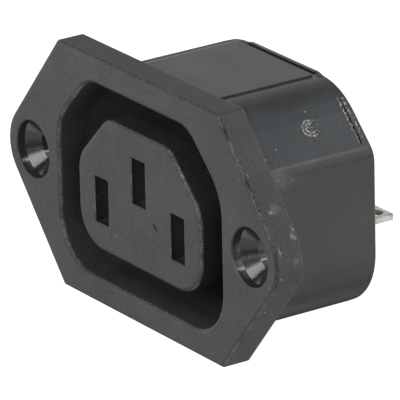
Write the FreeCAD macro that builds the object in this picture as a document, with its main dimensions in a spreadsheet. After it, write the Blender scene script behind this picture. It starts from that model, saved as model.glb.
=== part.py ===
import FreeCAD, Part
import os
import Sketcher

# Panel power socket: a screw-fixed outlet with a slotted island that stands in a deep moat.
# Y = 0 is the back of the flange, where it rests on the panel. The front looks along -Y.
# X = 0 and Z = 0 run through the middle of the flange. All sizes are in millimetres.

SIZES = {
    # Flange with rounded ears and two countersunk screw holes
    "hole_margin": 4.15,
    "hole_bore": 4.0,
    "hole_rim": 6.3,
    "hole_sink": 1.05,
    "hole_land": 0.78,
    "hole_bevel": 0.12,
    "flange_thick": 3.25,
    "flange_step": 1.15,
    "flange_margin": 1.85,
    "flange_corner": 0.4,
    "flange_edge": 0.4,
    "ear_radius": 4.7,
    # Island that carries the three slots
    "island_width": 22.6,
    "island_height": 15.1,
    "island_slope": 5.55,
    "island_shoulder": 3.0,
    "island_hip": 4.0,
    "island_foot": 4.2,
    "island_edge": 0.45,
    # Moat round the island
    "moat_side": 3.6,
    "moat_level": 3.17,
    "moat_floor": 1.6,
    "mouth_slope": 5.75,
    "mouth_shoulder": 3.8,
    "mouth_hip": 6.0,
    "mouth_foot": 5.3,
    "mouth_edge": 0.45,
    # Outer wall behind the flange
    "wall_side": 0.95,
    "wall_over": 1.08,
    "wall_under": 1.38,
    "body_depth": 14.55,
    "body_slope": 6.0,
    "body_shoulder": 8.0,
    "body_hip": 2.5,
    "body_foot": 6.9,
    "flat_width": 13.3,
    "flat_rise": 0.2,
    "flat_inset": 0.35,
    "gate_width": 2.3,
    "gate_sink": 0.1,
    "gate_step": 2.9,
    "gate_back": 9.6,
    # Rear cover and the seam between it and the housing
    "groove_start": 0.8,
    "groove_end": 5.0,
    "groove_width": 0.3,
    "groove_depth": 0.2,
    "cover_thick": 0.95,
    "cover_inset": 0.03,
    "cover_edge": 0.35,
    "lip_width": 15.2,
    "lip_rise": 0.12,
    "lip_taper": 1.9,
    "lip_depth": 0.6,
    "lip_round": 0.08,
    "spigot_depth": 0.8,
    # Pin slots and the chambers behind them
    "slot_pitch": 14.0,
    "slot_rise": 4.0,
    "slot_width": 2.5,
    "slot_height": 5.05,
    "slot_wall": 2.0,
    "slot_edge": 0.12,
    # Folded contacts
    "sheet_thick": 0.65,
    "sheet_bend": 0.5,
    "contact_width": 3.8,
    "contact_play": 0.3,
    "base_gap": 0.22,
    "leaf_gap": 0.2,
    "leaf_grip": 1.7,
    "leaf_curve": 12.0,
    "grip_place": 3.1,
    "fold_place": 8.9,
    "tab_width": 3.4,
    "tab_reach": 7.4,
    "tab_corner": 0.35,
    "eye_width": 1.9,
    "eye_inset": 1.4,
}

# Places that follow from the sizes, as formulas of the same sheet
PLACES = {
    "bore_radius": "hole_bore / 2",
    "rim_radius": "hole_rim / 2",
    "bevel_radius": "rim_radius + hole_bevel",
    "bevel_end": "flange_thick - hole_bevel",
    "cone_front": "flange_thick - hole_sink",
    "island_half": "island_width / 2",
    "island_level": "island_height / 2",
    "island_low": "island_level",
    "island_top": "island_half - island_slope",
    "island_side": "island_level - island_slope",
    "mouth_half": "island_half + moat_side",
    "mouth_level": "island_level + moat_level",
    "mouth_low": "mouth_level",
    "mouth_top": "mouth_half - mouth_slope",
    "mouth_side": "mouth_level - mouth_slope",
    "moat_depth": "flange_thick + body_depth - moat_floor",
    "body_half": "mouth_half + wall_side",
    "hole_x": "body_half + hole_margin",
    "body_level": "mouth_level + wall_over",
    "body_low": "mouth_low + wall_under",
    "body_top": "body_half - body_slope",
    "body_side": "body_level - body_slope",
    "flange_half": "body_half - flange_step",
    "flange_level": "body_level + flange_margin",
    "ear_run": "hole_x - flange_half",
    "ear_fall": "atan2(flange_level; ear_run) - asin(ear_radius / hypot(ear_run; flange_level))",
    "ear_tip": "flange_half + flange_level / tan(ear_fall)",
    "flat_half": "flat_width / 2",
    "flat_level": "body_level + flat_rise",
    "flat_length": "body_depth - flat_inset",
    "gate_x": "body_top + gate_step",
    "gate_z": "body_level - gate_step",
    "cover_back": "body_depth + cover_thick",
    "cover_half": "body_half - cover_inset",
    "cover_level": "body_level - cover_inset",
    "cover_low": "body_low - cover_inset",
    "cover_slope": "body_slope - (2 - sqrt(2)) * cover_inset",
    "cover_top": "cover_half - cover_slope",
    "cover_side": "cover_level - cover_slope",
    "cover_shoulder": "body_shoulder - cover_inset",
    "cover_hip": "body_hip - cover_inset",
    "cover_foot": "body_foot - cover_inset",
    "groove_high": "sqrt(2) * groove_start",
    "groove_low": "sqrt(2) * groove_end",
    "lip_half": "lip_width / 2",
    "lip_top": "lip_half - lip_taper",
    "lip_level": "cover_level + lip_rise",
    "slot_x": "slot_pitch / 2",
    "slot_z": "slot_rise / 2",
    "slot_half": "slot_width / 2",
    "slot_level": "slot_height / 2",
    "contact_half": "contact_width / 2",
    "base_level": "slot_level + base_gap",
    "base_floor": "base_level + sheet_thick",
    "leaf_level": "slot_level - leaf_gap",
    "leaf_rise": "base_level + leaf_level",
    "chamber_front": "flange_thick - slot_wall",
    "chamber_depth": "chamber_front + body_depth",
    "chamber_half": "contact_half + contact_play",
    "chamber_level": "leaf_level + contact_play",
    "spigot_half": "chamber_half - contact_play",
    "spigot_low": "base_level - contact_play",
    "spigot_level": "chamber_level - contact_play",
    "fold_back": "chamber_depth - spigot_depth",
    "fold_inside": "contact_half - sheet_thick",
    "grip_inside": "leaf_grip / 2",
    "grip_outside": "grip_inside + sheet_thick",
    "tab_half": "tab_width / 2",
    "tab_end": "chamber_depth + cover_thick + tab_reach",
    "eye_place": "tab_end - eye_inset",
    "window_half": "tab_half + contact_play",
    "window_floor": "base_floor + contact_play",
}

# Middle of each slot, and of the contact behind it
SLOTS = {
    "left_contact": ("-slot_x", "-slot_z"),
    "right_contact": ("slot_x", "-slot_z"),
    "earth_contact": ("0", "slot_z"),
}

# Two points nearer than this are the same point
TOUCH = 0.001

doc = FreeCAD.newDocument("panel_power_socket")
sheet = doc.addObject("Spreadsheet::Sheet", "Sizes")
cells = {name: str(number) for name, number in SIZES.items()}
cells.update({name: "=" + formula for name, formula in PLACES.items()})
for row, (name, content) in enumerate(cells.items(), start=1):
    sheet.set(f"A{row}", name)
    sheet.set(f"B{row}", content)
    sheet.setAlias(f"B{row}", name)
doc.recompute()


def terms(text):
    """Splits a sum of names, such as "-slot_x + slot_half", into signs and names."""
    sign = 1
    pairs = []
    for word in text.replace("-", " - ").replace("+", " + ").split():
        if word in "+-":
            sign = 1 if word == "+" else -1
        elif word != "0":
            pairs.append((sign, word))
            sign = 1
    return pairs


def value(text):
    """Reads a sum of named sizes and places."""
    return sum(sign * float(sheet.get(name)) for sign, name in terms(text))


def bind(item, path, text):
    """Ties a property or a constraint to a sum of named sizes and places."""
    item.setExpression(path, " + ".join(f"{sign} * Sizes.{name}" for sign, name in terms(text)))


def origin_plane(body, role):
    """Finds one of a body's own origin planes."""
    return next(item for item in body.Origin.OriginFeatures if item.Role == role)


def new_body(label):
    """Adds an empty body that becomes one piece of the socket."""
    body = doc.addObject("PartDesign::Body", label)
    body.Label = label
    return body


def new_sketch(body, name, role, turn=FreeCAD.Rotation(), **offsets):
    """Adds a sketch on an origin plane, turned and then moved by named offsets along the plane's axes."""
    sketch = body.newObject("Sketcher::SketchObject", name)
    sketch.AttachmentSupport = [(origin_plane(body, role), "")]
    sketch.MapMode = "FlatFace"
    sketch.AttachmentOffset = FreeCAD.Placement(FreeCAD.Vector(), turn)
    for axis, size in offsets.items():
        bind(sketch, f"AttachmentOffset.Base.{axis}", size)
    doc.recompute()
    return sketch


def tie(sketch, geometry, point, axis, text):
    """Holds one coordinate of a sketch point at a named distance from the sketch's origin."""
    level_axis, upright_axis, root = -1, -2, (-1, 1)
    if not terms(text):
        line = upright_axis if axis == "X" else level_axis
        sketch.addConstraint(Sketcher.Constraint("PointOnObject", geometry, point, line))
        return
    distance = Sketcher.Constraint("Distance" + axis, *root, geometry, point, value(text))
    number = sketch.addConstraint(distance)
    bind(sketch, f"Constraints[{number}]", text)


def draw_outline(sketch, corners):
    """Draws a closed outline of straight lines through corners given by name."""
    points = [FreeCAD.Vector(value(u), value(v), 0) for u, v in corners]
    lines = []
    for start, end in zip(points, points[1:] + points[:1]):
        lines.append(sketch.addGeometry(Part.LineSegment(start, end), False))
    for line, following in zip(lines, lines[1:] + lines[:1]):
        sketch.addConstraint(Sketcher.Constraint("Coincident", line, 2, following, 1))
    for line, (u, v) in zip(lines, corners):
        tie(sketch, line, 1, "X", u)
        tie(sketch, line, 1, "Y", v)


def draw_box(sketch, left, right, low, high):
    """Draws a rectangle between four named coordinates."""
    draw_outline(sketch, [(left, low), (right, low), (right, high), (left, high)])


def draw_at_slots(sketch, half, low, high):
    """Draws a rectangle at each slot, from named distances to the slot's middle."""
    for u, v in SLOTS.values():
        draw_box(sketch, f"{u} - {half}", f"{u} + {half}", f"{v} {low}", f"{v} {high}")


def draw_six_sided(sketch, form):
    """Draws a flat-topped outline with two sloping upper corners from a form's named places."""
    right = [(f"{form}_top", f"{form}_level"), (f"{form}_half", f"{form}_side"),
             (f"{form}_half", f"-{form}_low")]
    left = [(f"-{u}", v) for u, v in reversed(right)]
    draw_outline(sketch, right + left)


def draw_circle(sketch, u, v, width):
    """Draws a circle of a named width about a named middle."""
    middle = FreeCAD.Vector(value(u), value(v), 0)
    normal = FreeCAD.Vector(0, 0, 1)
    circle = sketch.addGeometry(Part.Circle(middle, normal, value(width) / 2), False)
    tie(sketch, circle, 3, "X", u)
    tie(sketch, circle, 3, "Y", v)
    number = sketch.addConstraint(Sketcher.Constraint("Diameter", circle, value(width)))
    bind(sketch, f"Constraints[{number}]", width)


def add_pad(body, name, sketch, length, backwards=False):
    """Adds material along a sketch's normal, or backwards against it."""
    pad = body.newObject("PartDesign::Pad", name)
    pad.Profile = sketch
    pad.Reversed = backwards
    bind(pad, "Length", length)
    doc.recompute()
    return pad


def check_cut(cut, before):
    """Stops the build if a cut took nothing away."""
    if cut.Shape.Volume > before - TOUCH:
        raise RuntimeError(f"{cut.Name} cuts nothing")


def add_pocket(body, name, sketch, length, forwards=False):
    """Cuts against a sketch's normal, or forwards along it."""
    before = body.Shape.Volume
    pocket = body.newObject("PartDesign::Pocket", name)
    pocket.Profile = sketch
    pocket.Reversed = forwards
    bind(pocket, "Length", length)
    doc.recompute()
    check_cut(pocket, before)
    return pocket


def add_groove(body, name, sketch):
    """Cuts a full turn of a sketch about its own upright axis."""
    before = body.Shape.Volume
    groove = body.newObject("PartDesign::Groove", name)
    groove.Profile = sketch
    groove.ReferenceAxis = (sketch, ["V_Axis"])
    groove.Angle = 360
    doc.recompute()
    check_cut(groove, before)
    return groove


def add_mirror(body, name, original):
    """Repeats a feature on the other side of the middle plane X = 0."""
    mirror = body.newObject("PartDesign::Mirrored", name)
    mirror.Originals = [original]
    mirror.MirrorPlane = (origin_plane(body, "YZ_Plane"), [""])
    body.Tip = mirror
    doc.recompute()
    return mirror


def near(number, text):
    """Tells whether a coordinate is at a named place."""
    return abs(number - value(text)) < TOUCH


def work_edges(body, kind, name, size, chosen):
    """Rounds (Fillet) or bevels (Chamfer) the edges whose ends and middle pass a test of X, Y and Z."""
    names = []
    for number, edge in enumerate(body.Shape.Edges, start=1):
        middle = edge.valueAt((edge.FirstParameter + edge.LastParameter) / 2)
        points = [vertex.Point for vertex in edge.Vertexes] + [middle]
        if all(chosen(*point) for point in points):
            names.append(f"Edge{number}")
    if not names:
        raise RuntimeError(f"{name} finds no edge")
    base = body.Tip
    work = body.newObject("PartDesign::" + kind, name)
    work.Base = (base, names)
    bind(work, "Radius" if kind == "Fillet" else "Size", size)
    doc.recompute()
    return work


def round_long_corners(body, form):
    """Rounds the six corners of a six-sided form that run along Y."""
    corners = {"shoulder": ("top", "level", 1), "hip": ("half", "side", 1), "foot": ("half", "low", -1)}
    for corner, (across, up, sign) in corners.items():
        def at_corner(x, y, z):
            return near(abs(x), f"{form}_{across}") and near(sign * z, f"{form}_{up}")
        work_edges(body, "Fillet", f"{body.Name}_{form}_{corner}", f"{form}_{corner}", at_corner)


def within(x, z, form):
    """Tells whether a point lies in the upright rectangle round a six-sided form."""
    across = abs(x) < value(f"{form}_half") + TOUCH
    return across and -value(f"{form}_low") - TOUCH < z < value(f"{form}_level") + TOUCH


def at_slot(x, z):
    """Tells whether a point of the island's face lies at one of the slots."""
    for u, v in SLOTS.values():
        beside = abs(x - value(u)) < value("slot_half") + TOUCH
        if beside and abs(z - value(v)) < value("slot_level") + TOUCH:
            return True
    return False


# Housing, one moulding: the flange
housing = new_body("housing")
outline = new_sketch(housing, "flange_outline", "XZ_Plane")
draw_outline(outline, [
    ("flange_half", "flange_level"), ("ear_tip", "0"), ("flange_half", "-flange_level"),
    ("-flange_half", "-flange_level"), ("-ear_tip", "0"), ("-flange_half", "flange_level")])
add_pad(housing, "flange", outline, "flange_thick")
work_edges(housing, "Fillet", "flange_ears", "ear_radius",
           lambda x, y, z: near(abs(x), "ear_tip"))
work_edges(housing, "Fillet", "flange_corners", "flange_corner",
           lambda x, y, z: near(abs(x), "flange_half") and near(abs(z), "flange_level"))
work_edges(housing, "Fillet", "flange_front_edge", "flange_edge",
           lambda x, y, z: near(y, "-flange_thick"))

# Housing: the outer wall round the moat, with a raised flat on top
outline = new_sketch(housing, "wall_outline", "XZ_Plane")
draw_six_sided(outline, "body")
add_pad(housing, "wall", outline, "body_depth", backwards=True)
outline = new_sketch(housing, "mouth_outline", "XZ_Plane", z="flange_thick")
draw_six_sided(outline, "mouth")
add_pocket(housing, "moat", outline, "moat_depth")
round_long_corners(housing, "mouth")
round_long_corners(housing, "body")
work_edges(housing, "Fillet", "mouth_rim", "mouth_edge",
           lambda x, y, z: near(y, "-flange_thick") and within(x, z, "mouth"))
outline = new_sketch(housing, "flat_outline", "XZ_Plane")
draw_box(outline, "-flat_half", "flat_half", "body_level - flat_rise", "flat_level")
add_pad(housing, "flat", outline, "flat_length", backwards=True)

# Housing: the island in the moat
outline = new_sketch(housing, "island_outline", "XZ_Plane", z="flange_thick")
draw_six_sided(outline, "island")
add_pad(housing, "island", outline, "moat_depth", backwards=True)
round_long_corners(housing, "island")
work_edges(housing, "Fillet", "island_rim", "island_edge",
           lambda x, y, z: near(y, "-flange_thick") and within(x, z, "island"))

# Housing: chambers for the contacts, open to the rear, and the pin slots in front of them
outline = new_sketch(housing, "chamber_outline", "XZ_Plane", z="-body_depth")
draw_at_slots(outline, "chamber_half", "- base_floor", "+ chamber_level")
add_pocket(housing, "chambers", outline, "chamber_depth", forwards=True)
outline = new_sketch(housing, "slot_outline", "XZ_Plane", z="flange_thick")
draw_at_slots(outline, "slot_half", "- slot_level", "+ slot_level")
add_pocket(housing, "slots", outline, "slot_wall")
work_edges(housing, "Chamfer", "slot_rims", "slot_edge",
           lambda x, y, z: near(y, "-flange_thick") and at_slot(x, z))

# Housing: the countersunk screw holes
outline = new_sketch(housing, "hole_outline", "XY_Plane", x="hole_x")
draw_outline(outline, [
    ("0", "-flange_thick"), ("bevel_radius", "-flange_thick"), ("rim_radius", "-bevel_end"),
    ("rim_radius", "-cone_front"), ("bore_radius", "-hole_land"), ("bore_radius", "0"), ("0", "0")])
hole = add_groove(housing, "screw_hole", outline)
add_mirror(housing, "screw_holes", hole)

# Housing: a shallow groove along the seam on both slopes, and the round gate mark on the right one
leaning = FreeCAD.Rotation(FreeCAD.Vector(0, 1, 0), 45)
outline = new_sketch(housing, "groove_outline", "XY_Plane", leaning, x="body_top", y="body_depth", z="body_level")
draw_box(outline, "groove_high", "groove_low", "-groove_width", "0")
groove = add_pocket(housing, "seam_groove", outline, "groove_depth")
add_mirror(housing, "seam_grooves", groove)
outline = new_sketch(housing, "gate_outline", "XY_Plane", leaning, x="gate_x", y="gate_back", z="gate_z")
draw_circle(outline, "0", "0", "gate_width")
add_pocket(housing, "gate_mark", outline, "gate_sink")

# Rear cover: a plate just inside the wall's outline, with a lip on top that fades out at both ends
cover = new_body("rear_cover")
outline = new_sketch(cover, "plate_outline", "XZ_Plane", z="-body_depth")
draw_six_sided(outline, "cover")
add_pad(cover, "plate", outline, "cover_thick", backwards=True)
round_long_corners(cover, "cover")
work_edges(cover, "Fillet", "plate_back_edge", "cover_edge",
           lambda x, y, z: near(y, "cover_back"))
outline = new_sketch(cover, "lip_outline", "XZ_Plane", z="-cover_back")
draw_outline(outline, [
    ("-lip_half", "cover_level - cover_edge"), ("lip_half", "cover_level - cover_edge"),
    ("lip_top", "lip_level"), ("-lip_top", "lip_level")])
add_pad(cover, "lip", outline, "lip_depth")
work_edges(cover, "Fillet", "lip_edges", "lip_round",
           lambda x, y, z: near(z, "lip_level") and (near(abs(x), "lip_top") or near(y, "cover_back")))

# Rear cover: a spigot in each chamber, behind the contact, and a window for each tab
outline = new_sketch(cover, "window_outline", "XZ_Plane", z="-body_depth")
draw_at_slots(outline, "window_half", "- window_floor", "- spigot_low")
add_pocket(cover, "windows", outline, "cover_thick")
outline = new_sketch(cover, "spigot_outline", "XZ_Plane", z="-body_depth")
draw_at_slots(outline, "spigot_half", "- spigot_low", "+ spigot_level")
add_pad(cover, "spigots", outline, "spigot_depth")


def make_contact(label, u, v):
    """Makes a contact of folded sheet: two bowed leaves that grip a pin, and a solder tab with an eye."""
    contact = new_body(label)
    outline = new_sketch(contact, f"{label}_base_outline", "XY_Plane", z="-base_floor")
    right = [("contact_half", "fold_place"), ("contact_half", "fold_back"),
             ("tab_half", "fold_back"), ("tab_half", "tab_end")]
    left = [(f"-{across}", along) for across, along in reversed(right)]
    draw_outline(outline, right + left)
    add_pad(contact, f"{label}_base", outline, "sheet_thick")
    outline = new_sketch(contact, f"{label}_leaf_outline", "XY_Plane", z="-base_level")
    draw_outline(outline, [
        ("fold_inside", "fold_back"), ("contact_half", "fold_back"), ("contact_half", "fold_place"),
        ("grip_outside", "grip_place"), ("contact_half", "contact_play"), ("fold_inside", "contact_play"),
        ("grip_inside", "grip_place"), ("fold_inside", "fold_place")])
    leaf = add_pad(contact, f"{label}_leaf", outline, "leaf_rise")
    add_mirror(contact, f"{label}_leaves", leaf)
    work_edges(contact, "Fillet", f"{label}_bows", "leaf_curve",
               lambda x, y, z: near(y, "grip_place"))
    work_edges(contact, "Fillet", f"{label}_folds", "sheet_bend",
               lambda x, y, z: near(abs(x), "contact_half") and near(z, "-base_floor"))
    work_edges(contact, "Fillet", f"{label}_tab_corners", "tab_corner",
               lambda x, y, z: near(abs(x), "tab_half") and near(y, "tab_end"))
    outline = new_sketch(contact, f"{label}_eye_outline", "XY_Plane", z="-base_level")
    draw_circle(outline, "0", "eye_place", "eye_width")
    add_pocket(contact, f"{label}_eye", outline, "sheet_thick")
    for axis, text in zip("xyz", (u, "-chamber_front", v)):
        if terms(text):
            bind(contact, f"Placement.Base.{axis}", text)
    doc.recompute()
    return contact


# Contacts: one behind each slot
contacts = [make_contact(label, u, v) for label, (u, v) in SLOTS.items()]

# Every object is sound before a file is written
doc.recompute()
for item in doc.Objects:
    if {"Invalid", "Error"} & set(item.State):
        raise RuntimeError(f"{item.Name} failed")
pieces = [housing, cover] + contacts
for piece in pieces:
    if piece.Shape.isNull() or not piece.Shape.isValid() or len(piece.Shape.Solids) != 1:
        raise RuntimeError(f"{piece.Label} is no sound solid")

os.makedirs("parts", exist_ok=True)
for piece in pieces:
    piece.Shape.exportStep(f"parts/{piece.Label}.step")
    print(f"{piece.Label}: {piece.Shape.Volume:.1f} cubic mm")
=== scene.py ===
"""Looks of a panel power socket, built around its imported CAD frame.

The moulded housing, the rear cover and the three contacts keep their CAD shapes and get
procedural finishes. Geometry Nodes grow the ragged flash along the seam and the torn scar of
the moulding gate. Fields are in millimetres and degrees, and meshes are in metres.
"""

import logging
import math
from dataclasses import dataclass
from enum import Enum
from functools import cached_property
from typing import Any

import bpy
from mathutils import Matrix, Vector


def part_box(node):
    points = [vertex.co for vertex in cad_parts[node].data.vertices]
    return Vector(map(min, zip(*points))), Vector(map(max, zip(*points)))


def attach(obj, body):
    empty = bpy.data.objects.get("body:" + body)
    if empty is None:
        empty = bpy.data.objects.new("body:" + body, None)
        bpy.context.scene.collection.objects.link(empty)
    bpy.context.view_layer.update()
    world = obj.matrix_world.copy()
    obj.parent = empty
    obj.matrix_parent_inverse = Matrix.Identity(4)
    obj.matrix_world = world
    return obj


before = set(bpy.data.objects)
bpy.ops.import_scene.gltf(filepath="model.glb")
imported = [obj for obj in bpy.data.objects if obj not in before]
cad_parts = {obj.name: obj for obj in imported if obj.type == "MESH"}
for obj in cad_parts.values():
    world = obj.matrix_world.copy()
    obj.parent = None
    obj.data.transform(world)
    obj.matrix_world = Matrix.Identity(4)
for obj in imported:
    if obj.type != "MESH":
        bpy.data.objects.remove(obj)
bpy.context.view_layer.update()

LOG = logging.getLogger("panel_power_socket")
MM = 0.001
BODY = "root"
PLASTIC_IOR = 1.5

Colour = tuple[float, float, float, float]
Point = tuple[float, float, float]
Pair = tuple[float, float]
Material = bpy.types.Material
Socket = bpy.types.NodeSocket
Source = bpy.types.Node | bpy.types.NodeSocket
Tree = bpy.types.NodeTree

# Blender's names of the node types that are used most
MATH = "ShaderNodeMath"
VECTOR = "ShaderNodeVectorMath"
SPLIT = "ShaderNodeSeparateXYZ"
MAPPING = "ShaderNodeMapping"
MAP_RANGE = "ShaderNodeMapRange"
MIX = "ShaderNodeMix"
NOISE = "ShaderNodeTexNoise"

# Sockets that are told by number, because their names repeat
FLOAT_A, FLOAT_B, RANDOM_FLOAT = 2, 3, 1
COLOUR_A, COLOUR_B, MIXED_COLOUR = 6, 7, 2

# The mean of a noise, and how many layers of detail it has
NOISE_MIDDLE = 0.5
FEW, SOME, MANY = 2.0, 3.0, 4.0


class Node(Enum):
    """CAD nodes of the socket."""

    HOUSING = "housing"
    COVER = "rear_cover"
    LEFT = "left_contact"
    RIGHT = "right_contact"
    EARTH = "earth_contact"


class Slot(Enum):
    """Material slots of the record."""

    HOUSING = "housing_moulding"
    COVER = "cover_moulding"
    CONTACT = "tinned_brass"


class Wear(Enum):
    """Kinds of mark, each with its share of the pale or dark tone and where its edge starts: specks, scuffs
    and nicks from handling, and smudges, some of which are painted sheen.
    """

    SPECK = (0.85, 0.35)
    SCUFF = (0.5, 0.0)
    SMUDGE_AND_SHEEN = (0.17, 0.0)
    NICK = (0.9, 0.5)


def linear(colour: str) -> Colour:
    """Turns an sRGB colour to linear light.

    Args:
        colour: A hash sign and six hex digits.

    Returns:
        Linear red, green and blue, with an alpha of one.
    """
    parts = [int(colour[start:start + 2], 16) / 255 for start in (1, 3, 5)]
    red, green, blue = (p / 12.92 if p <= 0.04045 else ((p + 0.055) / 1.055) ** 2.4 for p in parts)
    return red, green, blue, 1.0


def add(tree: Tree, kind: str, inputs: dict[str | int, Any] | None = None, **settings: Any) -> bpy.types.Node:
    """Adds a node with its settings and links.

    Args:
        tree: The node tree that gets the node.
        kind: Blender's name of the node's type.
        inputs: Values, output sockets, or nodes that give their first output, by the name or
            number of the input that takes them.
        **settings: The node's own properties.

    Returns:
        The new node.
    """
    node = tree.nodes.new(kind)
    for name, setting in settings.items():
        setattr(node, name, setting)
    for key, value in (inputs or {}).items():
        source = value.outputs[0] if isinstance(value, bpy.types.Node) else value
        if isinstance(source, Socket):
            tree.links.new(source, node.inputs[key])
        else:
            node.inputs[key].default_value = source
    return node


@dataclass(frozen=True)
class Surface:
    """A finish's node tree, with sources for a point's place in millimetres and for where it faces."""

    tree: Tree
    point: Source
    x: Source
    y: Source
    z: Source
    facing: Source
    facing_x: Source
    facing_y: Source

    @classmethod
    def measured(cls, tree: Tree, **more: Any) -> "Surface":
        """Adds the nodes that measure a point.

        Args:
            tree: The material's node tree.
            **more: Further fields, where a kind of surface has them.

        Returns:
            The surface.
        """
        coordinates = add(tree, "ShaderNodeTexCoord").outputs
        point = add(tree, VECTOR, {0: coordinates["Object"], "Scale": 1 / MM}, operation="SCALE")
        place = add(tree, SPLIT, {0: point}).outputs
        facing = coordinates["Normal"]
        facing_x, facing_y, _ = add(tree, SPLIT, {0: facing}).outputs
        return cls(tree, point, *place, facing, facing_x, facing_y, **more)


@dataclass(frozen=True)
class Mark:
    """One handling mark: its middle, its reach along each axis, and its turn about Y."""

    wear: Wear
    place: Point
    reach: Point
    turn: float = 0.0

    def mask(self, tree: Tree, point: Source) -> Source:
        """Adds the nodes that fade the mark out from its middle.

        Args:
            tree: The material's node tree.
            point: The point in millimetres.

        Returns:
            The share of the pale or dark tone.
        """
        share, edge = self.wear.value
        local = add(tree, MAPPING, {
            "Vector": point, "Location": self.place, "Rotation": (0, math.radians(self.turn), 0),
            "Scale": self.reach}, vector_type="TEXTURE")
        away = add(tree, VECTOR, {0: local}, operation="LENGTH").outputs["Value"]
        return add(tree, MAP_RANGE, {
            "Value": away, "From Min": 1.0, "From Max": edge, "To Min": 0.0, "To Max": share},
            interpolation_type="SMOOTHSTEP")


# Specks, scuffs, smudges and a nick of the front face, island, right ear and slope, and pale patches of
# painted sheen on the right side
HOUSING_MARKS = (
    Mark(Wear.SPECK, (-4.36, -3.25, -5.06), (0.13, 0.1, 0.13)),
    Mark(Wear.SPECK, (-8.11, -3.25, -4.52), (0.11, 0.1, 0.11)),
    Mark(Wear.SPECK, (23.41, -3.25, -2.24), (0.13, 0.1, 0.13)),
    Mark(Wear.SPECK, (24.56, -2.57, -1.13), (0.13, 0.13, 0.13)),
    Mark(Wear.SPECK, (21.44, -2.49, -5.6), (0.14, 0.14, 0.14)),
    Mark(Wear.NICK, (2.97, -3.25, -1.87), (0.66, 0.3, 0.24), 37.0),
    Mark(Wear.SCUFF, (7.75, -3.08, 5.35), (2.4, 0.3, 0.17), 45.0),
    Mark(Wear.SPECK, (5.72, -3.1, 7.3), (0.2, 0.2, 0.16)),
    Mark(Wear.SCUFF, (21.88, -1.83, 5.08), (0.6, 0.55, 0.4)),
    Mark(Wear.SCUFF, (23.3, -0.17, 3.38), (0.6, 0.4, 0.45)),
    Mark(Wear.SCUFF, (23.77, -0.51, 2.79), (0.6, 0.45, 0.5)),
    Mark(Wear.SCUFF, (19.08, -2.63, 8.41), (0.25, 0.16, 0.3)),
    Mark(Wear.SCUFF, (24.38, -2.53, 1.68), (0.4, 0.16, 0.7)),
    Mark(Wear.SMUDGE_AND_SHEEN, (21.65, -1.24, 5.35), (1.1, 1.1, 1.0)),
    Mark(Wear.SMUDGE_AND_SHEEN, (24.68, -0.75, 0.41), (0.5, 0.6, 0.5)),
    # painted sheen: pale patches on the right side by the flange and below the hip
    Mark(Wear.SMUDGE_AND_SHEEN, (15.5, 3.2, 5.5), (1.3, 2.8, 1.7)),
    Mark(Wear.SMUDGE_AND_SHEEN, (15.8, 5.04, 5.24), (0.5, 0.5, 0.4)),
    Mark(Wear.SMUDGE_AND_SHEEN, (15.85, 1.85, 2.6), (0.6, 0.5, 0.45)),
    Mark(Wear.SMUDGE_AND_SHEEN, (15.85, 2.85, 2.0), (0.6, 0.45, 0.4)),
    Mark(Wear.SPECK, (11.35, 9.9, 10.21), (0.12, 0.12, 0.12)),
    Mark(Wear.SPECK, (13.69, 4.58, 7.96), (0.12, 0.12, 0.12)),
    Mark(Wear.SPECK, (14.27, 2.9, 7.38), (0.1, 0.1, 0.1)),
    Mark(Wear.SPECK, (12.87, 2.05, 8.78), (0.1, 0.1, 0.1)),
)


@dataclass(frozen=True)
class Zone:
    """A box of the mouldings with a finish of its own: its middle and half its size."""

    middle: Point
    half: Point

    def mask(self, surface: Surface) -> Source:
        """Adds the nodes that tell points inside the box from those outside.

        Args:
            surface: Where a point lies and faces.

        Returns:
            One inside and zero outside.
        """
        tree = surface.tree
        local = add(tree, MAPPING, {
            "Vector": surface.point, "Location": self.middle, "Scale": self.half}, vector_type="TEXTURE")
        away = add(tree, VECTOR, {0: local}, operation="ABSOLUTE")
        x, y, z = add(tree, SPLIT, {0: away}).outputs
        level = add(tree, MATH, {0: x, 1: y}, operation="MAXIMUM")
        widest = add(tree, MATH, {0: level, 1: z}, operation="MAXIMUM")
        return add(tree, MATH, {0: widest, 1: 1.0}, operation="LESS_THAN")


MOAT = Zone((0.0, 5.05, 0.0), (15.2, 8.0, 11.0))
ISLAND = Zone((0.0, 5.05, 0.0), (11.4, 8.0, 7.65))
SLOTS = Zone((0.0, 6.0, 0.0), (8.4, 9.1, 4.7))
TOP_FLAT = Zone((0.0, 7.1, 12.0), (6.7, 7.2, 0.05))
# the flange's top edge, painted darker as shade
TOP_EDGE = Zone((0.0, -1.6, 13.65), (16.0, 1.55, 0.03))
# the seam on the top, darkened with painted shade
TOP_SEAM = Zone((0.0, 14.81, 11.8), (7.4, 0.32, 0.18))


@dataclass(frozen=True)
class Pattern:
    """A patchy pattern: the size of its patches, and how its noise is cut off and drawn."""

    size: float
    low: float
    high: float
    detail: float = SOME
    roughness: float = 0.5

    def patches(self, surface: Surface, least: float = 0.0, most: float = 1.0) -> Source:
        """Adds the nodes that draw the pattern.

        Args:
            surface: Where a point lies and faces.
            least: The value between the patches.
            most: The value inside them.

        Returns:
            A value from the least to the most.
        """
        noise = add(surface.tree, NOISE, {
            "Vector": surface.point, "Scale": 1 / self.size, "Detail": self.detail,
            "Roughness": self.roughness})
        return add(surface.tree, MAP_RANGE, {
            "Value": noise, "From Min": self.low, "From Max": self.high, "To Min": least, "To Max": most})


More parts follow.
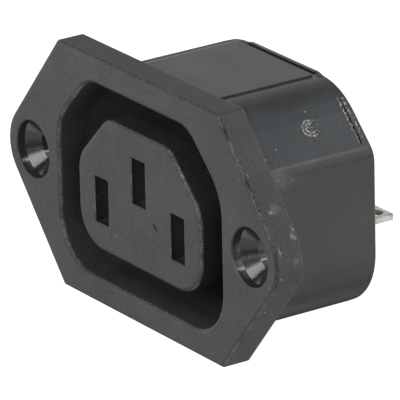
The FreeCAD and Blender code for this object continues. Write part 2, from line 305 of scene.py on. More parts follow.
@dataclass(frozen=True)
class Moulding(Surface):
    """A moulding's surface. The mask of each of its zones is drawn once, when it is first asked for."""

    marks: tuple[Mark, ...] = ()

    # Where the zones lie, and which way their faces lean, as parts of a unit normal
    front_place: float = -3.25
    moat_depth: float = 9.0
    slot_depth: float = 8.0
    moat_limit: float = -2.0
    hole_place: float = 20.0
    hole_reach: float = 3.3
    sink_middle: float = -1.58
    sink_half: float = 1.53
    rim_depth: float = 0.45
    rim_fade: float = 0.6
    rim_lean: float = -0.55
    rim_spread: float = 0.42
    # where the rims get the broken line of painted shade
    rim_shade_lean: float = -0.38
    rim_shade_spread: float = 0.25
    edge_width: float = 0.12
    edge_spread: float = 0.5
    # how far a rim faces the right before it gets pale marks, partly painted highlight
    rim_highlight_lean: Pair = (0.15, 0.5)

    # Shares of the pale tone of wear and painted highlight
    rim_share: float = 0.17
    edge_share: float = 0.08
    dust_share: float = 0.5
    ragged_most: float = 1.9

    # Patterns of wear, painted highlight and painted shade
    rim_shade_pattern: Pattern = Pattern(0.5, 0.42, 0.58)
    wear_pattern: Pattern = Pattern(0.22, 0.3, 0.7, roughness=0.6)
    rim_pattern: Pattern = Pattern(2.2, 0.38, 0.62, FEW)
    stray_size: float = 0.6
    stray_reach: float = 1.1
    dust_pitch: float = 0.55
    dust_size: float = 0.055

    @cached_property
    def flat(self) -> Source:
        """Finds the top flat."""
        return TOP_FLAT.mask(self)

    @cached_property
    def island(self) -> Source:
        """Finds the island in the moat."""
        return ISLAND.mask(self)

    @cached_property
    def slots(self) -> Source:
        """Finds the slots in the island."""
        return SLOTS.mask(self)

    @cached_property
    def ahead(self) -> Source:
        """Finds everything near the front."""
        return add(self.tree, MAP_RANGE, {
            "Value": self.y, "From Min": self.front_place + self.rim_depth,
            "From Max": self.front_place + self.rim_fade * self.rim_depth})

    @cached_property
    def rims(self) -> Source:
        """Finds the rounded rims of flange, mouth, island, slots and screw holes."""
        lean = add(self.tree, MATH, {
            0: self.facing_y, 1: self.rim_lean, 2: self.rim_spread}, operation="COMPARE")
        return add(self.tree, MATH, {0: lean, 1: self.ahead}, operation="MULTIPLY")

    @cached_property
    def moat(self) -> Source:
        """Finds the moat: walls that face inwards, its floor, and the island's sides.

        Returns:
            One in the moat and zero elsewhere.
        """
        outward = add(self.tree, VECTOR, {0: self.point, 1: self.facing},
                      operation="DOT_PRODUCT").outputs["Value"]
        inward = add(self.tree, MATH, {0: outward, 1: self.moat_limit}, operation="LESS_THAN")
        walls = add(self.tree, MATH, {0: inward, 1: MOAT.mask(self)}, operation="MULTIPLY")
        return add(self.tree, MATH, {0: walls, 1: self.island}, operation="MAXIMUM")

    @cached_property
    def deep(self) -> Source:
        """Tells how deep a point lies in the moat."""
        depth = add(self.tree, MAP_RANGE, {"Value": self.y, "From Max": self.moat_depth})
        return add(self.tree, MATH, {0: depth, 1: self.moat}, operation="MULTIPLY")

    @cached_property
    def sunk(self) -> Source:
        """Tells how deep a point lies in the slots."""
        depth = add(self.tree, MAP_RANGE, {
            "Value": self.y, "From Min": self.front_place, "From Max": self.front_place + self.slot_depth})
        return add(self.tree, MATH, {0: depth, 1: self.slots}, operation="MULTIPLY")

    @cached_property
    def grained(self) -> Source:
        """Finds the grained faces: the flange all round, and the top flat.

        Returns:
            One on the grained faces and zero elsewhere.
        """
        flange = add(self.tree, MATH, {0: self.y, 1: 0.0}, operation="LESS_THAN")
        outer = add(self.tree, MATH, {0: flange, 1: self.moat}, operation="SUBTRACT", use_clamp=True)
        return add(self.tree, MATH, {0: outer, 1: self.flat}, operation="MAXIMUM")

    @cached_property
    def sinks(self) -> Source:
        """Finds the walls, cones and bores of the screw holes.

        Returns:
            One in the screw sinks and zero elsewhere.
        """
        across = add(self.tree, MATH, {0: self.x}, operation="ABSOLUTE")
        beside = add(self.tree, MATH, {0: across, 1: self.hole_place}, operation="SUBTRACT")
        spoke = add(self.tree, "ShaderNodeCombineXYZ", {"X": beside, "Z": self.z})
        radius = add(self.tree, VECTOR, {0: spoke}, operation="LENGTH").outputs["Value"]
        inside = add(self.tree, MATH, {0: radius, 1: self.hole_reach}, operation="LESS_THAN")
        between = add(self.tree, MATH, {
            0: self.y, 1: self.sink_middle, 2: self.sink_half}, operation="COMPARE")
        return add(self.tree, MATH, {0: inside, 1: between}, operation="MULTIPLY")

    @cached_property
    def painted_rim_shade(self) -> Source:
        """Draws painted shade: the dark, broken line where the rims turn away from the front.

        Returns:
            The share of the dark tone.
        """
        turned = add(self.tree, MATH, {
            0: self.facing_y, 1: self.rim_shade_lean, 2: self.rim_shade_spread}, operation="COMPARE")
        line = add(self.tree, MATH, {0: turned, 1: self.rim_shade_pattern.patches(self)}, operation="MULTIPLY")
        return add(self.tree, MATH, {0: line, 1: self.rims}, operation="MULTIPLY")

    @cached_property
    def dark(self) -> Source:
        """Draws the dark, dull painted shade in the seam on the top, and dark, dull nicks.

        Returns:
            The share of the dark tone.
        """
        dark = TOP_SEAM.mask(self)
        for mark in self.marks:
            if mark.wear is Wear.NICK:
                nick = mark.mask(self.tree, self.point)
                dark = add(self.tree, MATH, {0: dark, 1: nick}, operation="MAXIMUM")
        return dark

    @cached_property
    def pale_wear_and_highlight(self) -> Source:
        """Gathers the pale marks: rims with wear and painted highlight, the flange's back edge, dust, and
        single marks, among them the painted sheen of the right side.

        Returns:
            The share of the pale tone.
        """
        spots = [self.rubbed_and_highlit, self.back_edge, self.dust]
        for mark in self.marks:
            if mark.wear is not Wear.NICK:
                spots.append(mark.mask(self.tree, self.point if mark.wear is Wear.SPECK else self.strayed))
        ragged = self.wear_pattern.patches(self, most=self.ragged_most)
        pale_wear_and_highlight = 0.0
        for spot in spots:
            torn = add(self.tree, MATH, {0: spot, 1: ragged}, operation="MULTIPLY")
            pale_wear_and_highlight = add(self.tree, MATH, {0: pale_wear_and_highlight, 1: torn}, operation="MAXIMUM", use_clamp=True)
        return pale_wear_and_highlight

    @cached_property
    def strayed(self) -> Source:
        """Shifts a point about, which gives scuffs and smudges their frayed outlines.

        Returns:
            The shifted point in millimetres.
        """
        noise = add(self.tree, NOISE, {"Vector": self.point, "Scale": 1 / self.stray_size, "Detail": SOME})
        swing = add(self.tree, VECTOR, {
            0: noise.outputs["Color"], 1: (NOISE_MIDDLE,) * 3}, operation="SUBTRACT")
        return add(self.tree, VECTOR, {
            0: swing, 1: (self.stray_reach,) * 3, 2: self.point}, operation="MULTIPLY_ADD")

    @cached_property
    def rubbed_and_highlit(self) -> Source:
        """Draws the pale, patchy marks on rims that face the right: partly wear, partly painted highlight.

        Returns:
            The share of the pale tone.
        """
        start, full = self.rim_highlight_lean
        right = add(self.tree, MAP_RANGE, {"Value": self.facing_x, "From Min": start, "From Max": full})
        patch = self.rim_pattern.patches(self, most=self.rim_share)
        share = add(self.tree, MATH, {0: patch, 1: right}, operation="MULTIPLY")
        return add(self.tree, MATH, {0: share, 1: self.rims}, operation="MULTIPLY")

    @cached_property
    def back_edge(self) -> Source:
        """Draws the pale line along the flange's back edge.

        Returns:
            The share of the pale tone.
        """
        half = self.edge_width / 2
        last = add(self.tree, MATH, {0: self.y, 1: -half, 2: half}, operation="COMPARE")
        aside = add(self.tree, MATH, {0: self.facing_y, 1: 0.0, 2: self.edge_spread}, operation="COMPARE")
        line = add(self.tree, MATH, {0: last, 1: aside}, operation="MULTIPLY")
        outer = add(self.tree, MATH, {0: line, 1: self.moat}, operation="SUBTRACT", use_clamp=True)
        return add(self.tree, MATH, {0: outer, 1: self.edge_share}, operation="MULTIPLY")

    @cached_property
    def dust(self) -> Source:
        """Draws the pale dust that catches in the grain of the front.

        Returns:
            The share of the pale tone.
        """
        away = add(self.tree, "ShaderNodeTexVoronoi", {"Vector": self.point, "Scale": 1 / self.dust_pitch})
        size = self.dust_size / self.dust_pitch
        dot = add(self.tree, MAP_RANGE, {
            "Value": away, "From Min": size, "From Max": size / 2, "To Max": self.dust_share})
        return add(self.tree, MATH, {0: dot, 1: self.ahead}, operation="MULTIPLY")


@dataclass(frozen=True)
class Finish:
    """A procedural finish, named for what the real one is and how it was made."""

    name: str

    def inputs(self, tree: Tree) -> dict[str, Any]:
        """Adds the finish's own nodes and gives the inputs of its shader by name."""
        raise NotImplementedError

    def build(self) -> Material:
        """Builds the node material.

        Returns:
            The finished material.
        """
        material = bpy.data.materials.new(self.name)
        material.use_nodes = True
        tree = material.node_tree
        tree.nodes.clear()
        shader = add(tree, "ShaderNodeBsdfPrincipled", self.inputs(tree))
        add(tree, "ShaderNodeOutputMaterial", {"Surface": shader})
        return material


@dataclass(frozen=True)
class MouldedNylon(Finish):
    """Black glass-filled nylon, injection moulded.

    The spark-eroded faces of the tool leave a fine matte grain in front and on the top flat, its
    polished sides leave a soft gloss, and its turned pins leave shiny screw sinks. The moat stays
    dull and dust lies on the grain. Painted shade darkens the top seam, the flange's top edge, a
    broken line on the rims, the screw sinks, the island's sides and the slots, and painted fill light
    pales the deep moat and slots. Rims that face the right are paler, partly from wear and partly
    from painted highlight, and pale patches on the right side are painted sheen.
    The real grain is too fine to show, so it is drawn as coarse as it needs.
    """

    marks: tuple[Mark, ...] = ()

    # Tones
    side_tone: str = "#363636"
    grain_tone: str = "#3c3c3a"
    flat_tone: str = "#484846"
    # painted shade on the flange's top edge
    top_edge_shade_tone: str = "#242423"
    rim_tone: str = "#373736"
    # painted shade of the top seam and of the rim line, and the dark of nicks
    painted_shade_tone: str = "#161616"
    moat_tone: str = "#323232"
    # painted shade on the island's sides in the moat
    island_shade_tone: str = "#262626"
    # painted fill light, paler deeper in the moat and the slots
    deep_fill_light_tone: str = "#7a7a7a"
    # painted shade in the slots, near black at their mouths
    slot_shade_tone: str = "#141414"
    # painted shade in the screw sinks
    sink_shade_tone: str = "#2a2a2a"
    # pale tone of wear and dust, and of painted highlight and painted sheen
    pale_wear_and_highlight_tone: str = "#a4a4a1"

    # Roughness and strength of reflection
    side_gloss: float = 0.3
    side_swing: float = 0.03
    grain_gloss: float = 0.52
    moat_gloss: float = 0.75
    sink_gloss: float = 0.13
    pale_mark_gloss: float = 0.6
    side_shine: float = 0.5
    rim_shine: float = 0.22
    hidden_shine: float = 0.08
    sink_shine: float = 0.68
    dark_shine: float = 0.1

    # Grain, blotches and streaks
    grain_size: float = 0.16
    grain_height: float = 0.01
    faint_grain: float = 0.2
    blotch_size: float = 5.5
    blotch_share: float = 0.4
    blotch_levels: Pair = (0.4, 1.0)
    blotch_light: Pair = (0.4, 1.6)
    streaks: Pattern = Pattern(1.3, 0.3, 0.7, MANY)

    def inputs(self, tree: Tree) -> dict[str, Any]:
        """Adds the nodes of the moulding and gives the inputs of its shader by name."""
        surface = Moulding.measured(tree, marks=self.marks)
        return {"Base Color": self.tone(surface), "Roughness": self.gloss(surface),
                "Normal": self.relief(surface), "Specular IOR Level": self.shine(surface), "IOR": PLASTIC_IOR}

    def tone(self, surface: Moulding) -> Source:
        """Adds the nodes of the colour: a tone for each zone, cloudy and grained, with the pale tone of wear
        and painted highlight on top.

        Args:
            surface: The moulding's surface and masks.

        Returns:
            The base colour.
        """
        tree = surface.tree
        cloud, grain = (add(tree, NOISE, {"Vector": surface.point, "Scale": 1 / size, "Detail": FEW})
                        for size in (self.blotch_size, self.grain_size))
        mixed = add(tree, MATH, {0: cloud, 1: self.blotch_share, 2: grain}, operation="MULTIPLY_ADD")
        (low, high), (dim, bright) = self.blotch_levels, self.blotch_light
        light = add(tree, MAP_RANGE, {
            "Value": mixed, "From Min": low, "From Max": high, "To Min": dim, "To Max": bright})
        # painted shade darkens the flange's top edge, the top seam, the rim line, the screw sinks, the
        # island's sides and the slots; painted fill light pales the deep moat and slots
        layers = (
            (surface.grained, self.grain_tone), (surface.flat, self.flat_tone),
            (TOP_EDGE.mask(surface), self.top_edge_shade_tone), (surface.rims, self.rim_tone),
            (surface.dark, self.painted_shade_tone), (surface.painted_rim_shade, self.painted_shade_tone),
            (surface.sinks, self.sink_shade_tone), (surface.moat, self.moat_tone),
            (surface.island, self.island_shade_tone), (surface.deep, self.deep_fill_light_tone),
            (surface.slots, self.slot_shade_tone), (surface.sunk, self.deep_fill_light_tone))
        tone = linear(self.side_tone)
        for mask, layer in layers:
            tone = add(tree, MIX, {"Factor": mask, COLOUR_A: tone, COLOUR_B: linear(layer)},
                       data_type="RGBA").outputs[MIXED_COLOUR]
        cloudy = add(tree, VECTOR, {0: tone, "Scale": light}, operation="SCALE")
        # the pale tone lies on wear and dust, and is painted highlight on right-facing rims and painted sheen
        # on the right side
        return add(tree, MIX, {"Factor": surface.pale_wear_and_highlight, COLOUR_A: cloudy, COLOUR_B: linear(self.pale_wear_and_highlight_tone)},
                   data_type="RGBA").outputs[MIXED_COLOUR]

    def gloss(self, surface: Moulding) -> Source:
        """Adds the nodes of the roughness: streaky sides, matte grain and shiny screw sinks.

        Args:
            surface: The moulding's surface and masks.

        Returns:
            The roughness.
        """
        least, most = self.side_gloss - self.side_swing, self.side_gloss + self.side_swing
        rough = self.streaks.patches(surface, least, most)
        for mask, layer in ((surface.grained, self.grain_gloss), (surface.moat, self.moat_gloss),
                            (surface.sinks, self.sink_gloss), (surface.pale_wear_and_highlight, self.pale_mark_gloss)):
            rough = add(surface.tree, MIX, {"Factor": mask, FLOAT_A: rough, FLOAT_B: layer})
        return rough

    def shine(self, surface: Moulding) -> Source:
        """Adds the nodes of the reflection's strength: faint if dull or dark, strong in the screw sinks.

        Args:
            surface: The moulding's surface and masks.

        Returns:
            The specular level.
        """
        tree = surface.tree
        hidden = add(tree, MATH, {0: surface.moat, 1: surface.slots}, operation="MAXIMUM")
        level = self.side_shine
        for mask, layer in ((surface.rims, self.rim_shine), (hidden, self.hidden_shine),
                            (surface.sinks, self.sink_shine), (surface.dark, self.dark_shine)):
            level = add(tree, MIX, {"Factor": mask, FLOAT_A: level, FLOAT_B: layer})
        return level

    def relief(self, surface: Moulding) -> Source:
        """Adds the nodes of the fine grain, full on the grained faces and faint elsewhere.

        Args:
            surface: The moulding's surface and masks.

        Returns:
            The bumped normal.
        """
        tree = surface.tree
        grain = add(tree, NOISE, {"Vector": surface.point, "Scale": 1 / self.grain_size, "Detail": SOME})
        strength = add(tree, MAP_RANGE, {"Value": surface.grained, "To Min": self.faint_grain})
        return add(tree, "ShaderNodeBump", {
            "Strength": strength, "Distance": self.grain_height * MM, "Height": grain})


@dataclass(frozen=True)
class TornNylon(Finish):
    """The same nylon where it was squeezed out or torn off: pale, dry and ragged."""

    dark_tone: str = "#3a3a39"
    pale_tone: str = "#aaaaa6"
    gloss: float = 0.55
    grit_size: float = 0.2
    grit_rough: float = 0.65
    grit_levels: Pair = (0.38, 0.6)
    grit_height: float = 0.02

    def inputs(self, tree: Tree) -> dict[str, Any]:
        """Adds the nodes of the pale grit.

        Args:
            tree: The material's node tree.

        Returns:
            The shader's inputs by name.
        """
        low, high = self.grit_levels
        grit = add(tree, NOISE, {
            "Vector": Surface.measured(tree).point, "Scale": 1 / self.grit_size, "Detail": SOME,
            "Roughness": self.grit_rough})
        pale = add(tree, MAP_RANGE, {"Value": grit, "From Min": low, "From Max": high})
        colour = add(tree, MIX, {
            "Factor": pale, COLOUR_A: linear(self.dark_tone),
            COLOUR_B: linear(self.pale_tone)}, data_type="RGBA")
        bump = add(tree, "ShaderNodeBump", {
            "Strength": 1.0, "Distance": self.grit_height * MM, "Height": grit})
        return {"Base Color": colour.outputs[MIXED_COLOUR], "Roughness": self.gloss, "IOR": PLASTIC_IOR,
                "Normal": bump}


@dataclass(frozen=True)
class TinnedBrass(Finish):
    """Brass strip with a bright tin plating: pale silver, cloudy, with rolling lines along the strip.

    The real lines are too fine to show, so they are drawn as coarse as they need.
    """

    name: str = "tin_plated_brass"
    bright_tone: str = "#d0d0ca"
    dull_tone: str = "#aeada6"
    bright_gloss: float = 0.3
    dull_gloss: float = 0.45
    cloud: Pattern = Pattern(0.9, 0.4, 0.7, MANY)
    line_size: float = 0.12
    line_squeeze: float = 0.06
    line_height: float = 0.002

    def inputs(self, tree: Tree) -> dict[str, Any]:
        """Adds the nodes of the clouds and the rolling lines.

        Args:
            tree: The material's node tree.

        Returns:
            The shader's inputs by name.
        """
        surface = Surface.measured(tree)
        strip = add(tree, MAPPING, {"Vector": surface.point, "Scale": (1.0, self.line_squeeze, 1.0)})
        lines = add(tree, NOISE, {"Vector": strip, "Scale": 1 / self.line_size, "Detail": FEW})
        dull = self.cloud.patches(surface)
        colour = add(tree, MIX, {
            "Factor": dull, COLOUR_A: linear(self.bright_tone),
            COLOUR_B: linear(self.dull_tone)}, data_type="RGBA")
        rough = add(tree, MAP_RANGE, {"Value": dull, "To Min": self.bright_gloss, "To Max": self.dull_gloss})
        bump = add(tree, "ShaderNodeBump", {
            "Strength": 1.0, "Distance": self.line_height * MM, "Height": lines})
        return {"Base Color": colour.outputs[MIXED_COLOUR], "Metallic": 1.0, "Roughness": rough,
                "Normal": bump}


@dataclass(frozen=True)
class StudioPaper(Finish):
    """White studio paper, lit from all round so that only faint shade lies on it."""

    name: str = "white_studio_paper"
    tone: str = "#8a8a8a"
    light: str = "#ffffff"
    gloss: float = 0.9
    glow: float = 1.0

    def inputs(self, tree: Tree) -> dict[str, Any]:
        """Gives the inputs of its shader by name, with no nodes of its own."""
        return {"Base Color": linear(self.tone), "Roughness": self.gloss, "Specular IOR Level": 0.0,
                "Emission Color": linear(self.light), "Emission Strength": self.glow}


def dress(node: Node, material: Material) -> None:
    """Gives a CAD node its finish.

    Args:
        node: The CAD node.
        material: The finish.
    """
    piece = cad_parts[node.value]
    piece.data.materials.clear()
    piece.data.materials.append(material)
    LOG.info("%s is dressed in %s", piece.name, material.name)


def new_growth(name: str, sizes: dict[str, float]) -> tuple[Tree, dict[str, Socket]]:
    """Starts a Geometry Nodes tree with named inputs.

    Args:
        name: The tree's name.
        sizes: Its named inputs and their usual values.

    Returns:
        The tree and its inputs by name, the base geometry among them.
    """
    tree = bpy.data.node_groups.new(name, "GeometryNodeTree")
    tree.interface.new_socket("Geometry", in_out="INPUT", socket_type="NodeSocketGeometry")
    for size, usual in sizes.items():
        socket = tree.interface.new_socket(size, in_out="INPUT", socket_type="NodeSocketFloat")
        socket.default_value = usual
    tree.interface.new_socket("Geometry", in_out="OUTPUT", socket_type="NodeSocketGeometry")
    entry = add(tree, "NodeGroupInput")
    return tree, {socket.name: socket for socket in entry.outputs if socket.name}


def end_growth(tree: Tree, shape: Source, material: Material) -> None:
    """Ends a Geometry Nodes tree with real geometry in its finish.

    Args:
        tree: The Geometry Nodes tree.
        shape: The geometry that it has made.
        material: The finish.
    """
    whole = add(tree, "GeometryNodeRealizeInstances", {"Geometry": shape})
    dressed = add(tree, "GeometryNodeSetMaterial", {"Geometry": whole, "Material": material})
    add(tree, "NodeGroupOutput", {"Geometry": dressed})


def grow(name: str, base: bpy.types.Mesh, tree: Tree, sizes: dict[str, float]) -> bpy.types.Object:
    """Runs a Geometry Nodes tree and keeps what it makes as a plain mesh.

    Args:
        name: The piece's name.
        base: The mesh that the tree starts from.
        tree: The Geometry Nodes tree.
        sizes: Values of the tree's named inputs.

    Returns:
        The piece, with no modifier left on it.
    """
    piece = bpy.data.objects.new(name, base)
    bpy.context.scene.collection.objects.link(piece)
    modifier = piece.modifiers.new(tree.name, "NODES")
    modifier.node_group = tree
    for item in tree.interface.items_tree:
        if item.in_out == "INPUT" and item.name in sizes:
            modifier[item.identifier] = sizes[item.name]
    depsgraph = bpy.context.evaluated_depsgraph_get()
    mesh = bpy.data.meshes.new_from_object(piece.evaluated_get(depsgraph))
    finish = next(material for material in mesh.materials if material)
    mesh.materials.clear()
    mesh.materials.append(finish)
    piece.modifiers.clear()
    piece.data = mesh
    mesh.name = name
    bpy.data.meshes.remove(base)
    return piece


def settle(piece: bpy.types.Object) -> None:
    """Lets a grown piece ride on the body.

    Args:
        piece: The grown piece.
    """
    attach(piece, BODY)
    LOG.info("%s has %d faces", piece.name, len(piece.data.polygons))


@dataclass
class Housing:
    """The one-piece moulding: flange, wall, moat, island and screw sinks."""

    finish: MouldedNylon = MouldedNylon("moulded_nylon_housing", HOUSING_MARKS)

    def build(self) -> None:
        """Dresses the CAD node."""
        dress(Node.HOUSING, self.finish.build())


@dataclass
class RearCover:
    """The plate that closes the rear of the housing."""

    finish: MouldedNylon = MouldedNylon("moulded_nylon_cover")

    def build(self) -> None:
        """Dresses the CAD node."""
        dress(Node.COVER, self.finish.build())


@dataclass
class Contacts:
    """The three folded contacts with their solder tabs."""

    finish: TinnedBrass = TinnedBrass()

    def build(self) -> None:
        """Dresses the CAD nodes."""
        material = self.finish.build()
        for node in (Node.LEFT, Node.RIGHT, Node.EARTH):
            dress(node, material)


@dataclass
class SeamFlash:
    """Ragged flash on both lips of the seam, where the wall slopes."""

    finish: TornNylon = TornNylon("torn_nylon_flash")
    shoulder_middle: Pair = (6.537, 3.8)
    shoulder_radius: float = 8.0
    shoulder_steps: int = 4
    start: float = 58.0
    slope: float = 45.0
    run: float = 3.7
    row_places: Pair = (14.22, 14.82)
    row_insets: Pair = (0.02, 0.05)
    thickness: float = 0.13
    thinnest: float = 0.15
    sides: int = 8
    step: float = 0.04
    wander: float = 1.2
    clump: float = 0.42
    clump_rough: float = 0.7
    clump_levels: Pair = (0.42, 0.6)
    right_seed: float = 3.0
    left_seed: float = 8.0

    def outline(self, side: float, inset: float) -> list[Pair]:
        """Follows the wall's outline from the shoulder down the slope.

        Args:
            side: One for the right slope, minus one for the left.
            inset: How far inside the wall's face the line lies.

        Returns:
            Points across X and Z.
        """
        middle_x, middle_z = self.shoulder_middle
        reach = self.shoulder_radius - inset
        points = []
        for number in range(self.shoulder_steps + 1):
            turn = math.radians(self.start + number / self.shoulder_steps * (self.slope - self.start))
            points.append((side * (middle_x + reach * math.cos(turn)), middle_z + reach * math.sin(turn)))
        last_x, last_z = points[-1]
        turn = math.radians(self.slope)
        points.append((last_x + side * self.run * math.sin(turn), last_z - self.run * math.cos(turn)))
        return points

    def paths(self, side: float) -> bpy.types.Mesh:
        """Lays the seam's two lips as chains of edges.

        Args:
            side: One for the right slope, minus one for the left.

        Returns:
            A mesh of edges only.
        """
        points, edges = [], []
        for place, inset in zip(self.row_places, self.row_insets):
            first = len(points)
            points += [(x * MM, place * MM, z * MM) for x, z in self.outline(side, inset)]
            edges += [(number, number + 1) for number in range(first, len(points) - 1)]
        mesh = bpy.data.meshes.new("seam_paths")
        mesh.from_pydata(points, edges, [])
        return mesh

    def sizes(self, seed: float) -> dict[str, float]:
        """Gives the tree's named inputs for one slope and its seed."""
        return {"Thickness": self.thickness * MM, "Step": self.step * MM, "Wander": self.wander * MM,
                "Clump": self.clump * MM, "Seed": seed}

    def tree(self, material: Material) -> Tree:
        """Builds the tree that runs a ragged bead along each chain.

        Args:
            material: The finish of the bead.

        Returns:
            The Geometry Nodes tree.
        """
        tree, sizes = new_growth("seam_flash", self.sizes(self.right_seed))
        curve = add(tree, "GeometryNodeMeshToCurve", {"Mesh": sizes["Geometry"]})
        fine = add(tree, "GeometryNodeResampleCurve", {
            "Curve": curve, "Length": sizes["Step"]}, mode="LENGTH")
        where = add(tree, "GeometryNodeInputPosition")
        pitch = add(tree, MATH, {0: 1.0, 1: sizes["Clump"]}, operation="DIVIDE")
        noise = add(tree, NOISE, {
            "Vector": where, "W": sizes["Seed"], "Scale": pitch, "Detail": SOME,
            "Roughness": self.clump_rough}, noise_dimensions="4D")
        swing = add(tree, SPLIT, {0: noise.outputs["Color"]}).outputs["Y"]
        level = add(tree, MATH, {0: swing, 1: NOISE_MIDDLE}, operation="SUBTRACT")
        aside = add(tree, MATH, {0: level, 1: sizes["Wander"]}, operation="MULTIPLY")
        offset = add(tree, "ShaderNodeCombineXYZ", {"Y": aside})
        bent = add(tree, "GeometryNodeSetPosition", {"Geometry": fine, "Offset": offset})
        low, high = self.clump_levels
        swell = add(tree, MAP_RANGE, {
            "Value": noise, "From Min": low, "From Max": high, "To Min": self.thinnest})
        ring = add(tree, "GeometryNodeCurvePrimitiveCircle", {
            "Resolution": self.sides, "Radius": sizes["Thickness"]})
        bead = add(tree, "GeometryNodeCurveToMesh", {
            "Curve": bent, "Profile Curve": ring, "Scale": swell, "Fill Caps": True})
        end_growth(tree, bead, material)
        return tree

    def build(self) -> None:
        """Grows the flash of the right and the left slope."""
        tree = self.tree(self.finish.build())
        for name, side, seed in (("seam_flash_right", 1.0, self.right_seed),
                                 ("seam_flash_left", -1.0, self.left_seed)):
            settle(grow(name, self.paths(side), tree, self.sizes(seed)))


@dataclass
class GateScar:
    """Torn stub of the moulding gate, a broken ring in its round recess on the right slope."""

    finish: TornNylon = TornNylon("torn_nylon_gate")
    middle: Point = (12.75, 9.6, 8.9)
    sink: float = 0.07
    flatness: float = 0.55
    recess: float = 1.12
    recess_sides: int = 24
    ring: float = 0.9
    core: float = 0.5
    start: float = 70.0
    sweep: float = 230.0
    arc_points: int = 60
    thickness: float = 0.17
    thinnest: float = 0.45
    sides: int = 14
    clump: float = 0.45
    clump_rough: float = 0.65
    clump_levels: Pair = (0.35, 0.65)
    tear: float = 0.16
    crumb: float = 0.09
    crumb_least: float = 0.35
    crumb_detail: int = 2
    crumbs_per_square: float = 13.0
    place_seed: int = 4
    bulk_seed: int = 9

    def sizes(self) -> dict[str, float]:
        """Gives the tree's named inputs.

        Returns:
            Lengths in metres and angles in radians, by name.
        """
        lengths = {"Recess": self.recess, "Ring": self.ring, "Core": self.core, "Thickness": self.thickness,
                   "Clump": self.clump, "Tear": self.tear, "Crumb": self.crumb}
        angles = {"Start": self.start, "Sweep": self.sweep}
        return ({name: length * MM for name, length in lengths.items()}
                | {name: math.radians(angle) for name, angle in angles.items()})

    def tree(self, material: Material) -> Tree:
        """Builds the tree that tears the ring and the crumbs in the recess.

        Args:
            material: The finish of the torn stub.

        Returns:
            The Geometry Nodes tree.
        """
        tree, sizes = new_growth("gate_scar", self.sizes())
        where = add(tree, "GeometryNodeInputPosition")
        pitch = add(tree, MATH, {0: 1.0, 1: sizes["Clump"]}, operation="DIVIDE")
        noise = add(tree, NOISE, {
            "Vector": where, "Scale": pitch, "Detail": SOME, "Roughness": self.clump_rough})
        join = add(tree, "GeometryNodeJoinGeometry", {"Geometry": self.stub(tree, sizes, noise)})
        tree.links.new(self.crumbs(tree, sizes).outputs["Geometry"], join.inputs["Geometry"])
        swing = add(tree, VECTOR, {0: noise.outputs["Color"], 1: (NOISE_MIDDLE,) * 3}, operation="SUBTRACT")
        offset = add(tree, VECTOR, {0: swing, "Scale": sizes["Tear"]}, operation="SCALE")
        torn = add(tree, "GeometryNodeSetPosition", {"Geometry": join, "Offset": offset})
        end_growth(tree, torn, material)
        return tree

    def stub(self, tree: Tree, sizes: dict[str, Socket], noise: Source) -> bpy.types.Node:
        """Adds the nodes of the two broken arcs, thick and thin by turns.

        Args:
            tree: The Geometry Nodes tree.
            sizes: Its inputs by name.
            noise: What swells the arcs.

        Returns:
            The node that gives the arcs as a mesh.
        """
        arcs = add(tree, "GeometryNodeJoinGeometry")
        for radius in ("Ring", "Core"):
            arc = add(tree, "GeometryNodeCurveArc", {
                "Resolution": self.arc_points, "Radius": sizes[radius], "Start Angle": sizes["Start"],
                "Sweep Angle": sizes["Sweep"]}, mode="RADIUS")
            tree.links.new(arc.outputs["Curve"], arcs.inputs["Geometry"])
        low, high = self.clump_levels
        swell = add(tree, MAP_RANGE, {
            "Value": noise, "From Min": low, "From Max": high, "To Min": self.thinnest})
        wire = add(tree, "GeometryNodeCurvePrimitiveCircle", {
            "Resolution": self.sides, "Radius": sizes["Thickness"]})
        return add(tree, "GeometryNodeCurveToMesh", {
            "Curve": arcs, "Profile Curve": wire, "Scale": swell, "Fill Caps": True})

    def crumbs(self, tree: Tree, sizes: dict[str, Socket]) -> bpy.types.Node:
        """Adds the nodes that strew crumbs over the recess.

        Args:
            tree: The Geometry Nodes tree.
            sizes: Its inputs by name.

        Returns:
            The node that gives the crumbs as a mesh.
        """
        floor = add(tree, "GeometryNodeMeshCircle", {
            "Vertices": self.recess_sides, "Radius": sizes["Recess"]}, fill_type="NGON")
        spots = add(tree, "GeometryNodeDistributePointsOnFaces", {
            "Mesh": floor, "Density": self.crumbs_per_square / MM ** 2, "Seed": self.place_seed})
        grain = add(tree, "GeometryNodeMeshIcoSphere", {
            "Radius": sizes["Crumb"], "Subdivisions": self.crumb_detail})
        bulk = add(tree, "FunctionNodeRandomValue", {
            FLOAT_A: self.crumb_least, FLOAT_B: 1.0, "Seed": self.bulk_seed}).outputs[RANDOM_FLOAT]
        strewn = add(tree, "GeometryNodeInstanceOnPoints", {
            "Points": spots, "Instance": grain, "Scale": bulk})
        return add(tree, "GeometryNodeRealizeInstances", {"Geometry": strewn})

    def build(self) -> None:
        """Grows the scar flat and lays it on the slope."""
        base = bpy.data.meshes.new("gate_base")
        piece = grow("gate_scar", base, self.tree(self.finish.build()), self.sizes())
        along, out = Vector((0, 1, 0)), Vector((1, 0, 1)).normalized()
        turn = Matrix((along, out.cross(along), out)).transposed().to_4x4()
        middle = (Vector(self.middle) - out * self.sink) * MM
        piece.data.transform(Matrix.Translation(middle) @ turn @ Matrix.Diagonal((1, 1, self.flatness, 1)))
        settle(piece)


def direction(azimuth: float, elevation: float) -> Vector:
    """Points from the socket to a place round it.

    Args:
        azimuth: Degrees round from the front, towards the right.
        elevation: Degrees above the horizon.

    Returns:
        A unit vector.
    """
    turn, rise = math.radians(azimuth), math.radians(elevation)
    return Vector((math.sin(turn) * math.cos(rise), -math.cos(turn) * math.cos(rise), math.sin(rise)))


